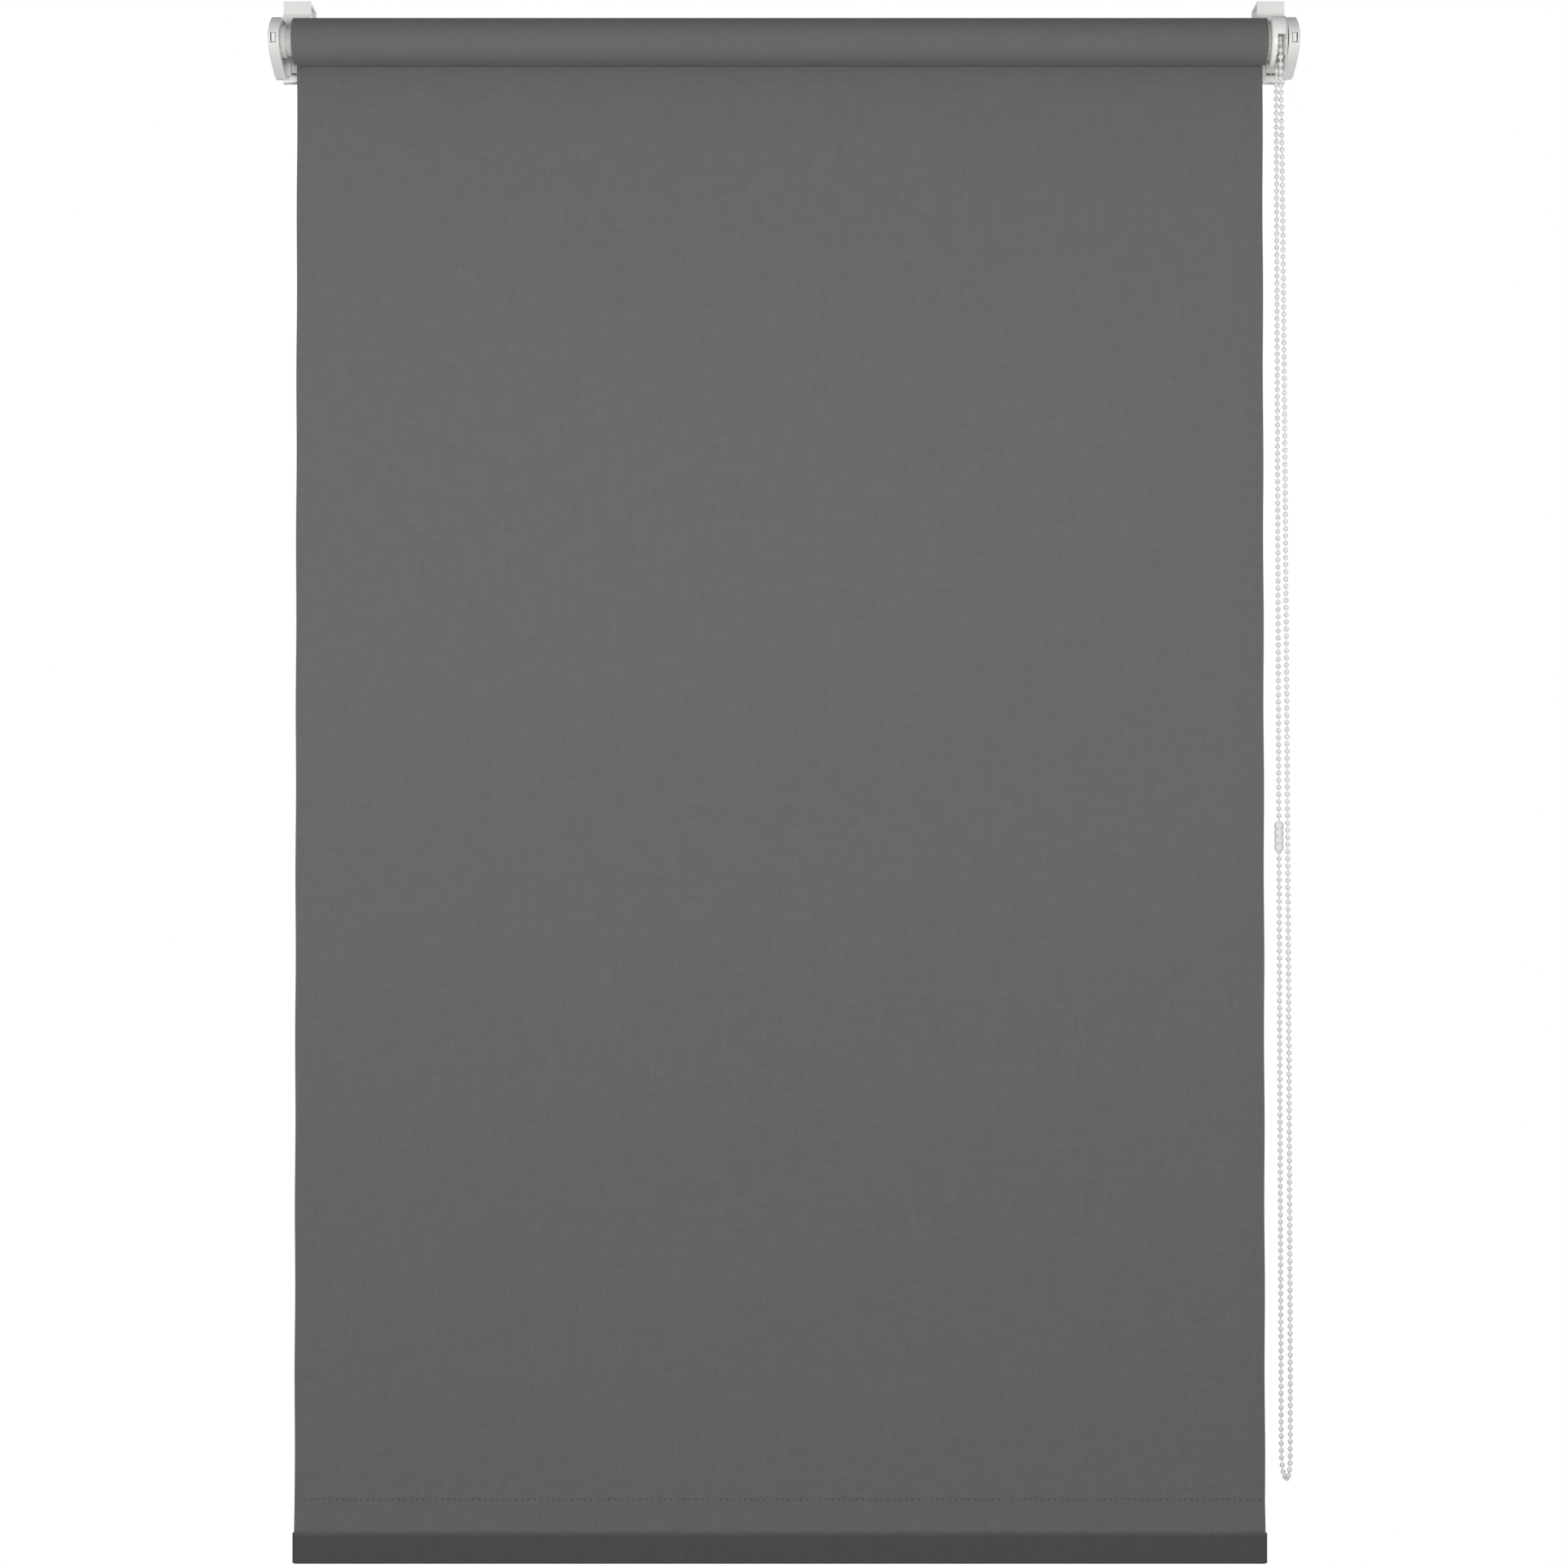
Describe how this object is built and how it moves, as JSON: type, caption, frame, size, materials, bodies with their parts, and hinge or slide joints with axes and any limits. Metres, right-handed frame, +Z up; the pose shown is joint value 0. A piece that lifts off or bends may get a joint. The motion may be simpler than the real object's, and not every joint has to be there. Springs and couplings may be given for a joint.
{
  "type": "clamp-on roller blind",
  "caption": "Clamp-on roller blind with anthracite fabric, white brackets that hook over a window sash, a bead chain drive and a weighted hem.",
  "frame": {"origin": "top front edge of the window sash that the hooks hang on, midway between the two hooks", "axes": "+Z up, +Y towards the window, +X to the chain side as seen from the room"},
  "size_m": [0.632, 0.0645, 0.9702],
  "materials": {
    "fabric": "plain woven polyester, matt",
    "white_plastic": "warm white moulded plastic, satin",
    "milky_plastic": "milky moulded plastic, slightly glossy",
    "bead_plastic": "glossy off-white beads",
    "clear_plastic": "clear moulded plastic",
    "dark_plastic": "anthracite moulded plastic",
    "aluminium": "mill finish",
    "steel": "zinc plated",
    "foam": "closed-cell foam"
  },
  "bodies": {
    "brackets": {"left_carrier": "white_plastic", "right_carrier": "white_plastic", "left_pad": "foam", "right_pad": "foam", "left_side_cover": "white_plastic", "right_side_cover": "white_plastic", "left_side_plate": "white_plastic", "right_side_plate": "white_plastic", "drive_spindle": "white_plastic", "spindle_clip": "steel", "chain_housing": "milky_plastic", "housing_cap": "milky_plastic", "bead_chain": "bead_plastic", "chain_turn": "bead_plastic", "hanging_fabric": "fabric"},
    "roller": {"roller_tube": "aluminium", "wound_fabric": "fabric", "mounting_tape": "foam", "idler_plug": "white_plastic", "idler_spring": "steel", "drive_plug": "white_plastic", "chain_wheel": "white_plastic", "brake_spring_1": "steel", "brake_spring_2": "steel"},
    "idler_pin": {"idler_pin": "steel"},
    "hem": {"hem_pocket": "fabric", "bottom_bar": "aluminium", "left_bar_cap": "dark_plastic", "right_bar_cap": "dark_plastic"},
    "joiner": {"chain_joiner": "clear_plastic"},
    "left_hook": {"left_hook": "white_plastic"},
    "right_hook": {"right_hook": "white_plastic"},
    "left_screw": {"left_clamp_screw": "steel"},
    "right_screw": {"right_clamp_screw": "steel"}
  },
  "joints": [
    {"name": "roller_spin", "type": "hinge", "parent": "brackets", "child": "roller", "pos_m": [0, -0.026, -0.0285], "axis": [1, 0, 0], "range_deg": [0, 2907.69]},
    {"name": "hem_lift", "type": "slide", "parent": "brackets", "child": "hem", "axis": [0, 0, 1], "range_m": [0, 0.83], "deforming": ["hanging_fabric"]},
    {"name": "joiner_travel", "type": "slide", "parent": "brackets", "child": "joiner", "axis": [-0.0017, 0, 1], "range_m": [0, 0.4635]},
    {"name": "idler_pin_press", "type": "slide", "parent": "roller", "child": "idler_pin", "axis": [1, 0, 0], "range_m": [0, 0.004], "stiffness_N_per_m": 400, "springref_m": -0.004, "deforming": ["idler_spring"]},
    {"name": "left_screw_turn", "type": "hinge", "parent": "brackets", "child": "left_screw", "pos_m": [-0.3035, -0.0048, -0.045], "axis": [0, 0, -1], "range_deg": [0, 1440]},
    {"name": "right_screw_turn", "type": "hinge", "parent": "brackets", "child": "right_screw", "pos_m": [0.3035, -0.0048, -0.045], "axis": [0, 0, -1], "range_deg": [0, 1440]},
    {"name": "left_hook_lift", "type": "slide", "parent": "brackets", "child": "left_hook", "axis": [0, 0, 1], "range_m": [0, 0.0032]},
    {"name": "right_hook_lift", "type": "slide", "parent": "brackets", "child": "right_hook", "axis": [0, 0, 1], "range_m": [0, 0.0032]}
  ],
  "couplings": [
    {"joint": "hem_lift", "follows": "roller_spin", "m_per_rad": 0.01612},
    {"joint": "joiner_travel", "follows": "roller_spin", "m_per_rad": 0.0091036},
    {"joint": "left_screw_turn", "follows": "left_hook_lift", "rad_per_m": 7853.9},
    {"joint": "right_screw_turn", "follows": "right_hook_lift", "rad_per_m": 7853.9}
  ]
}
